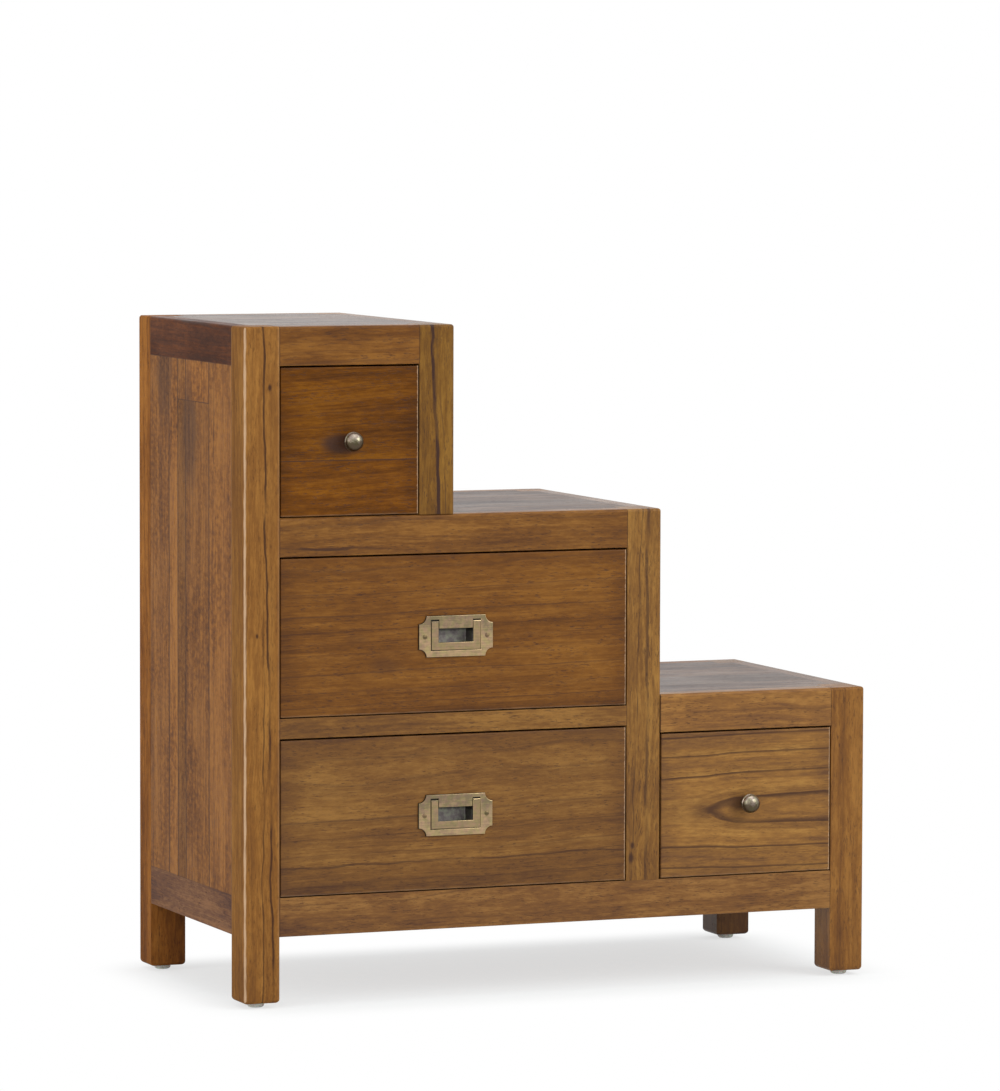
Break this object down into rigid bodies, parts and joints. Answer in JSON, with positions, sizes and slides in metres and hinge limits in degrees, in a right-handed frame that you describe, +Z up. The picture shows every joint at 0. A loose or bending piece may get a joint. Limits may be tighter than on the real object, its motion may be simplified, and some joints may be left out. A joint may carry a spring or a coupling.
{
  "type": "step chest",
  "caption": "Stair-shaped wooden chest with inset drawers under three treads, flush pulls with swinging bails, round knobs and square legs.",
  "frame": {"origin": "on the floor, under the middle of the box that the whole chest fills, knobs included", "axes": "+X to the right seen from the front, +Y to the back, +Z up; the drawers open towards -Y and the steps climb towards -X"},
  "size_m": [0.8, 0.404, 0.8],
  "materials": {
    "frame_wood": "honey-brown stain under satin lacquer",
    "dark_frame_wood": "dark heartwood under satin lacquer",
    "panel_wood": "laminated boards, stained, satin lacquer",
    "tread_wood": "stained boards, satin lacquer",
    "drawer_front_wood": "stained solid board, satin lacquer",
    "drawer_box_wood": "planed, thin clear coat",
    "plywood": "sanded plywood, stained back",
    "runner_wood": "bare, waxed",
    "antique_brass": "brushed antique brass",
    "knob_brass": "turned, dark antique brass",
    "pan_steel": "pressed steel, dull grey",
    "screw_steel": "plated steel",
    "nylon": "milky nylon"
  },
  "bodies": {
    "chest": {"back_panel_high": "plywood", "back_panel_low": "plywood", "back_panel_wide": "plywood", "deck_board": "tread_wood", "drawer_runners": "runner_wood", "dust_board": "plywood", "glides": "nylon", "left_side_rails": "dark_frame_wood", "panel_left": "panel_wood", "panel_partition": "panel_wood", "panel_right": "panel_wood", "panel_upper_riser": "panel_wood", "post_back_left": "frame_wood", "post_back_middle": "frame_wood", "post_back_right": "frame_wood", "post_back_upper": "frame_wood", "post_front_left": "frame_wood", "post_front_middle": "frame_wood", "post_front_right": "frame_wood", "post_front_upper": "frame_wood", "rail_back_base": "frame_wood", "rail_back_low": "frame_wood", "rail_back_step": "frame_wood", "rail_back_top": "frame_wood", "rail_front_base": "frame_wood", "rail_front_divider": "frame_wood", "rail_front_low": "frame_wood", "rail_front_step": "frame_wood", "rail_front_top": "frame_wood", "riser_rails": "frame_wood", "runner_screws": "screw_steel", "step_board_high": "tread_wood", "step_board_low": "tread_wood", "step_board_middle": "tread_wood"},
    "top_drawer": {"top_drawer_back": "drawer_box_wood", "top_drawer_bottom": "plywood", "top_drawer_front": "drawer_front_wood", "top_drawer_knob": "knob_brass", "top_drawer_sides": "drawer_box_wood"},
    "upper_drawer": {"upper_drawer_back": "drawer_box_wood", "upper_drawer_bottom": "plywood", "upper_drawer_front": "drawer_front_wood", "upper_drawer_pull_pan": "pan_steel", "upper_drawer_pull_plate": "antique_brass", "upper_drawer_pull_screws": "antique_brass", "upper_drawer_sides": "drawer_box_wood"},
    "lower_drawer": {"lower_drawer_back": "drawer_box_wood", "lower_drawer_bottom": "plywood", "lower_drawer_front": "drawer_front_wood", "lower_drawer_pull_pan": "pan_steel", "lower_drawer_pull_plate": "antique_brass", "lower_drawer_pull_screws": "antique_brass", "lower_drawer_sides": "drawer_box_wood"},
    "low_drawer": {"low_drawer_back": "drawer_box_wood", "low_drawer_bottom": "plywood", "low_drawer_front": "drawer_front_wood", "low_drawer_knob": "knob_brass", "low_drawer_sides": "drawer_box_wood"},
    "upper_bail": {"upper_drawer_pull_bail": "antique_brass"},
    "lower_bail": {"lower_drawer_pull_bail": "antique_brass"}
  },
  "joints": [
    {"name": "top_drawer_slide", "type": "slide", "parent": "chest", "child": "top_drawer", "axis": [0, -1, 0], "range_m": [0, 0.24]},
    {"name": "upper_drawer_slide", "type": "slide", "parent": "chest", "child": "upper_drawer", "axis": [0, -1, 0], "range_m": [0, 0.24]},
    {"name": "upper_bail_hinge", "type": "hinge", "parent": "upper_drawer", "child": "upper_bail", "pos_m": [-0.135, -0.17895, 0.44875], "axis": [-1, 0, 0], "range_deg": [0, 90]},
    {"name": "lower_drawer_slide", "type": "slide", "parent": "chest", "child": "lower_drawer", "axis": [0, -1, 0], "range_m": [0, 0.24]},
    {"name": "lower_bail_hinge", "type": "hinge", "parent": "lower_drawer", "child": "lower_bail", "pos_m": [-0.135, -0.17895, 0.2365], "axis": [-1, 0, 0], "range_deg": [0, 90]},
    {"name": "low_drawer_slide", "type": "slide", "parent": "chest", "child": "low_drawer", "axis": [0, -1, 0], "range_m": [0, 0.24]}
  ]
}
